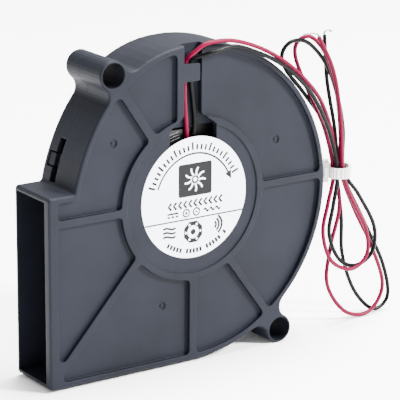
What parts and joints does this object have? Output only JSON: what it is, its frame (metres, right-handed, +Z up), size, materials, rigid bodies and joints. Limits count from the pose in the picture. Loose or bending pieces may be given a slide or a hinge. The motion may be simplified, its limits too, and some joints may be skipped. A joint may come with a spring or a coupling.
{
  "type": "dc blower fan",
  "caption": "Flat centrifugal blower fan with a ribbed scroll casing, side outlet, forward-curved impeller and two tied leads.",
  "frame": {"origin": "bottom centre of the casing's box, which leaves out the free leads and their tie", "axes": "+Z up, -Y towards the label, -X out of the air outlet, +Y into the air inlet's side; the rotor turns about Y"},
  "size_m": [0.1018, 0.017, 0.0767],
  "materials": {
    "casing": "fine matte moulded, slate grey",
    "label": "satin white film",
    "impeller": "matte black moulded",
    "yoke_steel": "satin drawn steel",
    "magnet": "dark bonded ferrite",
    "shaft_steel": "ground and polished",
    "brass": "machined",
    "clip_steel": "spring steel",
    "bronze": "sintered bronze",
    "washer_plastic": "dark",
    "core_steel": "stacked laminations",
    "insulator": "natural nylon",
    "copper_wire": "enamelled copper",
    "tinned": "tinned",
    "board": "green solder mask",
    "chip": "black epoxy",
    "capacitor": "ceramic",
    "solder": "bright solder",
    "red_sleeve": "soft glossy sleeve",
    "black_sleeve": "soft satin sleeve",
    "tie_nylon": "translucent natural nylon"
  },
  "bodies": {
    "casing": {"front_frame": "casing", "rear_cover": "casing", "label": "label", "bearing_sleeve": "bronze", "thrust_washers": "washer_plastic", "stator_core": "core_steel", "front_insulator": "insulator", "rear_insulator": "insulator", "stator_coils": "copper_wire", "winding_pins": "tinned", "circuit_board": "board", "driver_chip": "chip", "hall_sensor": "chip", "board_capacitor": "capacitor", "solder_joints": "solder", "red_lead_entry": "red_sleeve", "black_lead_entry": "black_sleeve", "red_lead": "red_sleeve", "black_lead": "black_sleeve", "red_lead_end": "tinned", "black_lead_end": "tinned", "cable_tie": "tie_nylon"},
    "rotor": {"impeller": "impeller", "rotor_yoke": "yoke_steel", "magnet_ring": "magnet", "shaft": "shaft_steel", "shaft_bush": "brass", "retaining_clip": "clip_steel"}
  },
  "joints": [
    {"name": "rotor_spin", "type": "hinge", "parent": "casing", "child": "rotor", "pos_m": [0.00046, 0, 0.03973], "axis": [0, 1, 0], "continuous": true}
  ]
}
